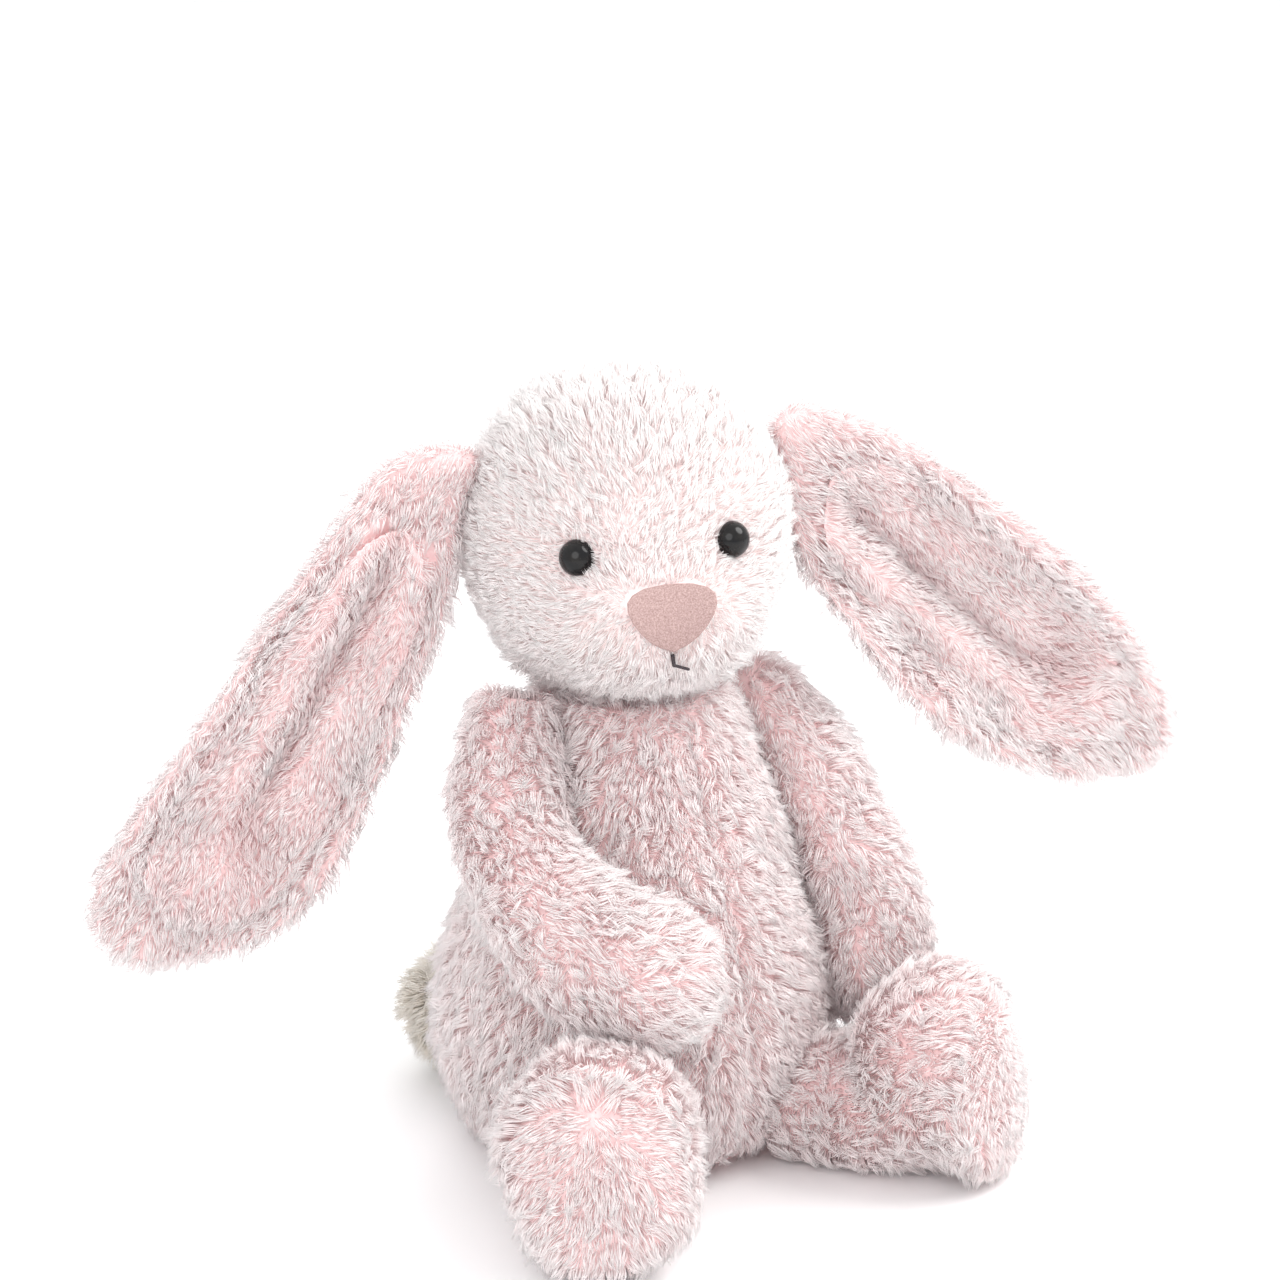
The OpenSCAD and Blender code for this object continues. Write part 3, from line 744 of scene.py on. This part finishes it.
# ---------- legs ----------
def leg(name, m, seed):
    def flow(p, n):
        q = local(m, p)
        sole = smoothstep(-q[:, 1], 46, 56)
        forward = np.stack([0.25 * waves(p, 0.04, seed), -np.ones(len(q)),
                            0.3 * waves(p, 0.04, seed + 1)], 1)
        outward = np.stack([q[:, 0] / 24, 0 * q[:, 0], (q[:, 2] - 16) / 28 - 0.5], 1)
        v = unit(forward) * (1 - sole)[:, None] + unit(outward) * sole[:, None]
        return along(n, direction(m, unit(v)))

    def length(p, n):
        q = local(m, p)
        sole = smoothstep(-q[:, 1], 50, 57)
        return (6.8 - 1.4 * sole) * (1 + 0.12 * waves(p, 0.03, seed + 2))

    def tint(p, n):
        q = local(m, p)
        sole = smoothstep(-q[:, 1], 40, 54)
        # Darker on the upper face near the ankle: painted shade under the paw that rests there.
        ankle_shade = bump(q[:, 1] + 24, 12) * smoothstep(n[:, 2], -0.2, 0.7)
        return 0.45 + 0.25 * sole - 0.3 * ankle_shade + 0.12 * waves(p, 0.03, seed + 3)

    def keep(p, n):
        return (np.linalg.norm(local(m, p), axis=1) > 12) & (local(m, p)[:, 1] < 4)

    def shape(p, n):
        q = local(m, p)
        depth = 0.9 * waves(p, 0.035, seed + 4) * smoothstep(-q[:, 1], 2, 14)
        edge = np.hypot(q[:, 0] / 24.2, (q[:, 2] - 14) / 29.4)
        depth -= 0.9 * bump(edge - 0.93, 0.05) * (q[:, 1] < -40)
        return n * (depth * MM)[:, None]

    skin = padded_skin(name + "_plush", [name + "_skin", name + "_stuffing"], 1.6)
    shaped(skin, shape)
    skin.data.materials.append(cloth_pink)
    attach(skin, name)
    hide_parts(name + "_skin")
    grow(name + "_pile", skin, name, pile_pink, flow, length, tint, keep=keep, seed=seed)


leg("right_leg", right_leg_frame, 71)
leg("left_leg", left_leg_frame, 81)

# ---------- tail ----------
tail = padded_skin("tail_plush", ["tail_skin", "tail_stuffing"], 1.4)
tail.data.materials.append(cloth_cream)
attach(tail, "tail")
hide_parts("tail_skin")
grow("tail_pile", tail, "tail", pile_cream,
     lambda p, n: along(n, (0.1, 0.3, -1)),
     lambda p, n: 8.0 * (1 + 0.1 * waves(p, 0.02, 91)),
     lambda p, n: 0.4 + 0.2 * waves(p, 0.02, 92),
     keep=lambda p, n: local(Matrix.Translation(TAIL), p)[:, 1] > -9,
     per_mm2=2.6, width=0.3, lay=0.35, clump=2.2, hold=0.6, seed=93)


# ---------- eyes, nose and mouth ----------
def eye_material():
    m, nodes, links, shader = material("eye_gloss")
    place = nodes.new("ShaderNodeTexCoord")
    noise = nodes.new("ShaderNodeTexNoise")
    noise.inputs["Scale"].default_value = 420
    links.new(place.outputs["Object"], noise.inputs["Vector"])
    links.new(
        ramp(nodes, links, noise.outputs["Fac"],
             [(0.35, (0.004, 0.004, 0.005)), (0.75, (0.014, 0.012, 0.011))]),
        shader.inputs["Base Color"],
    )
    shader.inputs["Roughness"].default_value = 0.13
    shader.inputs["Specular IOR Level"].default_value = 0.3
    return m


def fibre_material():
    m, nodes, links, shader = material("fibre_fill")
    place = nodes.new("ShaderNodeTexCoord")
    noise = nodes.new("ShaderNodeTexNoise")
    noise.inputs["Scale"].default_value = 260
    noise.inputs["Detail"].default_value = 5
    noise.inputs["Distortion"].default_value = 1.5
    links.new(place.outputs["Object"], noise.inputs["Vector"])
    links.new(
        ramp(nodes, links, noise.outputs["Fac"],
             [(0.3, (0.72, 0.72, 0.70)), (0.7, (0.93, 0.93, 0.92))]),
        shader.inputs["Base Color"],
    )
    b = nodes.new("ShaderNodeBump")
    b.inputs["Strength"].default_value = 0.6
    b.inputs["Distance"].default_value = 0.001
    links.new(noise.outputs["Fac"], b.inputs["Height"])
    links.new(b.outputs["Normal"], shader.inputs["Normal"])
    shader.inputs["Roughness"].default_value = 0.95
    return m


eye_gloss = eye_material()
fibre_fill = fibre_material()
bean_cloth = cloth_material("bean_cloth", (0.70, 0.66, 0.58), (0.82, 0.78, 0.70), 1500)
seat_cloth = cloth_material("seat_cloth", (0.72, 0.38, 0.39), (0.84, 0.52, 0.53), 1500)
washer_white = cloth_material("washer_white", (0.74, 0.74, 0.72), (0.82, 0.82, 0.80), 500, 0.05)
nose_cloth = cloth_material("nose_suedette", (0.31, 0.20, 0.19), (0.54, 0.39, 0.37), 2600, 0.5)
thread_dark = cloth_material("mouth_thread", (0.03, 0.025, 0.03), (0.10, 0.085, 0.09), 3000, 0.4)

for node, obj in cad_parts.items():
    finish = None
    if node.endswith("_stuffing"):
        finish = fibre_fill
    elif node in ("right_eye", "left_eye"):
        finish = eye_gloss
    elif node.endswith("_washer"):
        finish = washer_white
    elif node == "bean_pouch":
        finish = bean_cloth
    elif node == "seat_panel":
        finish = seat_cloth
    elif node == "nose":
        finish = nose_cloth
    elif node == "mouth_stitch":
        finish = thread_dark
    if finish is not None:
        for s in obj.material_slots:
            s.material = finish

# ---------- floor, light and camera ----------
def floor():
    m, nodes, links, shader = material("floor_paper")
    place = nodes.new("ShaderNodeTexCoord")
    noise = nodes.new("ShaderNodeTexNoise")
    noise.inputs["Scale"].default_value = 6
    links.new(place.outputs["Object"], noise.inputs["Vector"])
    links.new(
        ramp(nodes, links, noise.outputs["Fac"],
             [(0.3, (0.90, 0.90, 0.905)), (0.7, (0.92, 0.92, 0.925))]),
        shader.inputs["Base Color"],
    )
    shader.inputs["Roughness"].default_value = 0.9
    bm = bmesh.new()
    bmesh.ops.create_grid(bm, x_segments=2, y_segments=2, size=4)
    mesh = bpy.data.meshes.new("floor")
    bm.to_mesh(mesh)
    bm.free()
    obj = new_object("floor", mesh)
    mesh.materials.append(m)


def area(name, place, size, power, colour=(1, 1, 1)):
    light = bpy.data.lights.new(name, "AREA")
    light.shape = "DISK"
    light.size = size
    light.energy = power
    light.color = colour
    obj = bpy.data.objects.new(name, light)
    bpy.context.scene.collection.objects.link(obj)
    obj.location = place
    aim = LIGHT_TARGET - obj.location
    obj.rotation_euler = aim.to_track_quat("-Z", "Y").to_euler()


floor()
area("key", (0.75, -0.65, 1.25), 1.0, 15, (1, 0.99, 0.98))
area("fill", (-1.1, -0.9, 0.9), 1.2, 8, (0.99, 0.99, 1.0))
area("back", (0.5, 1.2, 1.1), 1.0, 8)
world = bpy.data.worlds.new("studio")
world.use_nodes = True
world.node_tree.nodes["Background"].inputs["Color"].default_value = (1.0, 1.0, 1.0, 1)
world.node_tree.nodes["Background"].inputs["Strength"].default_value = 1.1
bpy.context.scene.world = world
bpy.context.scene.view_settings.view_transform = "Standard"
bpy.context.scene.cycles.max_bounces = 16
bpy.context.scene.cycles.diffuse_bounces = 10


def camera():
    az, el, roll = (math.radians(a) for a in (CAMERA_AZIMUTH, CAMERA_ELEVATION, CAMERA_ROLL))
    back = Vector((math.sin(az) * math.cos(el), -math.cos(az) * math.cos(el), math.sin(el)))
    right = Vector((math.cos(az), math.sin(az), 0))
    up = back.cross(right)
    right, up = (
        right * math.cos(roll) - up * math.sin(roll),
        up * math.cos(roll) + right * math.sin(roll),
    )
    cam = bpy.data.cameras.new("camera")
    cam.sensor_width = 36
    cam.lens = 93.75
    cam.clip_start = 0.01
    cam.clip_end = 50
    obj = bpy.data.objects.new("camera", cam)
    bpy.context.scene.collection.objects.link(obj)
    m = Matrix((right, up, back)).transposed().to_4x4()
    m.translation = CAMERA_TARGET + back * CAMERA_DISTANCE
    obj.matrix_world = m
    bpy.context.scene.camera = obj


camera()
